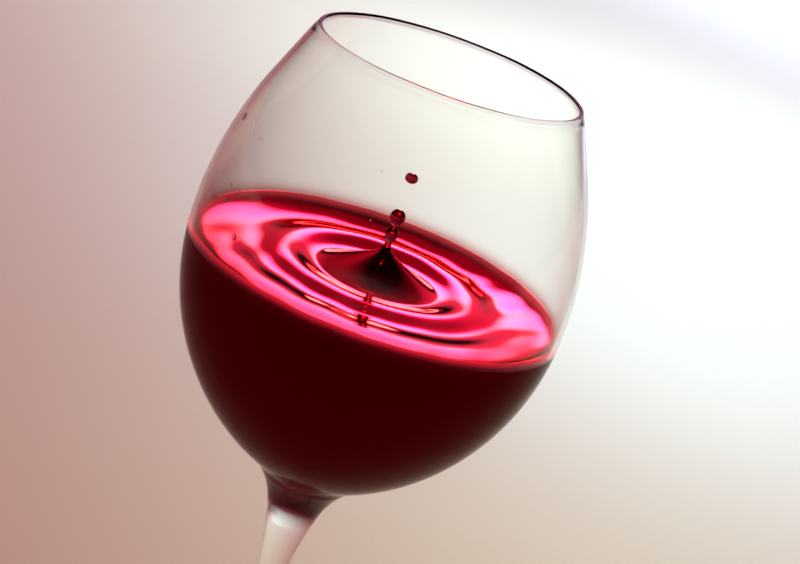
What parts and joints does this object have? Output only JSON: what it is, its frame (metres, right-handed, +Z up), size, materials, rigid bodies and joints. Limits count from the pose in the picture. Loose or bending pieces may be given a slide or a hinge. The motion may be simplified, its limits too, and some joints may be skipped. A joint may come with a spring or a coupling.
{
  "type": "glass of red wine",
  "caption": "Stemmed glass with a wide bowl narrowing to its rim, filled to just below its widest part with red wine a drop has struck: rings, a mound and a beaded jet.",
  "frame": {"origin": "centre of the circle that the foot stands on", "axes": "+Z up along the glass's axis, from the foot to the rim; the splash's axis is parallel to it and stands 6 mm towards +Y; -Y is the side the object is seen from"},
  "size_m": [0.096, 0.096, 0.222],
  "materials": {
    "glass": "clear, fire-polished",
    "wine": "liquid, mirror-smooth, dark red"
  },
  "bodies": {
    "root": {"glass": "glass", "wine": "wine"}
  },
  "joints": []
}
